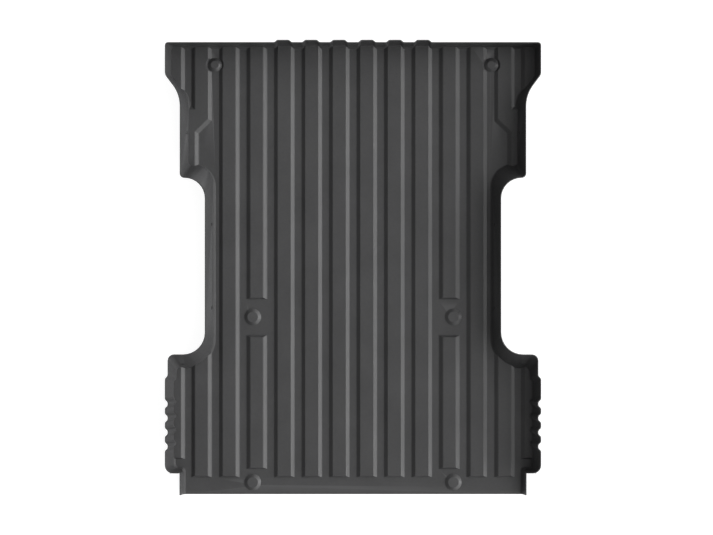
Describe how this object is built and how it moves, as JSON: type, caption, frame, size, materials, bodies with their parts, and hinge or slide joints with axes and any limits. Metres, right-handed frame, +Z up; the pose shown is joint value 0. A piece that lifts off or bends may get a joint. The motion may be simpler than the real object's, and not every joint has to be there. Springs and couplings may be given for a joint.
{
  "type": "truck bed liner",
  "caption": "Drop-in moulded plastic tray for a pickup bed, with a ribbed floor, low leaning walls, wheelhouse recesses, lift-off bolt caps and push-in wall retainers.",
  "frame": {"origin": "middle of the outline, on the underside that rests on the truck's floor", "axes": "+Y towards the bulkhead at the front of the bed, +X to the passenger side, +Z up"},
  "size_m": [1.64, 1.998, 0.15],
  "materials": {
    "moulded_sheet": "fine pebble grain, matte",
    "moulded_cap": "smooth satin",
    "retainer_plastic": "smooth satin"
  },
  "bodies": {
    "liner": {"liner_shell": "moulded_sheet", "sleeve_side_left": "retainer_plastic", "sleeve_side_right": "retainer_plastic", "sleeve_wheel_front_left": "retainer_plastic", "sleeve_wheel_front_right": "retainer_plastic", "sleeve_wheel_rear_left": "retainer_plastic", "sleeve_wheel_rear_right": "retainer_plastic", "sleeve_pocket_left": "retainer_plastic", "sleeve_pocket_right": "retainer_plastic"},
    "pin_side_left": {"pin_side_left": "retainer_plastic"},
    "pin_side_right": {"pin_side_right": "retainer_plastic"},
    "pin_wheel_front_left": {"pin_wheel_front_left": "retainer_plastic"},
    "pin_wheel_front_right": {"pin_wheel_front_right": "retainer_plastic"},
    "pin_wheel_rear_left": {"pin_wheel_rear_left": "retainer_plastic"},
    "pin_wheel_rear_right": {"pin_wheel_rear_right": "retainer_plastic"},
    "pin_pocket_left": {"pin_pocket_left": "retainer_plastic"},
    "pin_pocket_right": {"pin_pocket_right": "retainer_plastic"},
    "bolt_cap_front_left": {"bolt_cap_front_left": "moulded_cap"},
    "bolt_cap_front_right": {"bolt_cap_front_right": "moulded_cap"},
    "bolt_cap_middle_left": {"bolt_cap_middle_left": "moulded_cap"},
    "bolt_cap_middle_right": {"bolt_cap_middle_right": "moulded_cap"},
    "bolt_cap_rear_left": {"bolt_cap_rear_left": "moulded_cap"},
    "bolt_cap_rear_right": {"bolt_cap_rear_right": "moulded_cap"}
  },
  "joints": [
    {"name": "pin_side_left_pull", "type": "slide", "parent": "liner", "child": "pin_side_left", "axis": [0.9868, 0, 0.162], "range_m": [0, 0.008]},
    {"name": "pin_side_right_pull", "type": "slide", "parent": "liner", "child": "pin_side_right", "axis": [-0.9868, 0, 0.162], "range_m": [0, 0.008]},
    {"name": "pin_wheel_front_left_pull", "type": "slide", "parent": "liner", "child": "pin_wheel_front_left", "axis": [0.9856, 0, 0.1692], "range_m": [0, 0.008]},
    {"name": "pin_wheel_front_right_pull", "type": "slide", "parent": "liner", "child": "pin_wheel_front_right", "axis": [-0.9856, 0, 0.1692], "range_m": [0, 0.008]},
    {"name": "pin_wheel_rear_left_pull", "type": "slide", "parent": "liner", "child": "pin_wheel_rear_left", "axis": [0.9856, 0, 0.1692], "range_m": [0, 0.008]},
    {"name": "pin_wheel_rear_right_pull", "type": "slide", "parent": "liner", "child": "pin_wheel_rear_right", "axis": [-0.9856, 0, 0.1692], "range_m": [0, 0.008]},
    {"name": "pin_pocket_left_pull", "type": "slide", "parent": "liner", "child": "pin_pocket_left", "axis": [0, -0.9202, 0.3914], "range_m": [0, 0.008]},
    {"name": "pin_pocket_right_pull", "type": "slide", "parent": "liner", "child": "pin_pocket_right", "axis": [0, -0.9202, 0.3914], "range_m": [0, 0.008]},
    {"name": "bolt_cap_front_left_lift", "type": "slide", "parent": "liner", "child": "bolt_cap_front_left", "axis": [0, 0, 1], "range_m": [0, 0.04]},
    {"name": "bolt_cap_front_right_lift", "type": "slide", "parent": "liner", "child": "bolt_cap_front_right", "axis": [0, 0, 1], "range_m": [0, 0.04]},
    {"name": "bolt_cap_middle_left_lift", "type": "slide", "parent": "liner", "child": "bolt_cap_middle_left", "axis": [0, 0, 1], "range_m": [0, 0.04]},
    {"name": "bolt_cap_middle_right_lift", "type": "slide", "parent": "liner", "child": "bolt_cap_middle_right", "axis": [0, 0, 1], "range_m": [0, 0.04]},
    {"name": "bolt_cap_rear_left_lift", "type": "slide", "parent": "liner", "child": "bolt_cap_rear_left", "axis": [0, 0, 1], "range_m": [0, 0.04]},
    {"name": "bolt_cap_rear_right_lift", "type": "slide", "parent": "liner", "child": "bolt_cap_rear_right", "axis": [0, 0, 1], "range_m": [0, 0.04]}
  ]
}
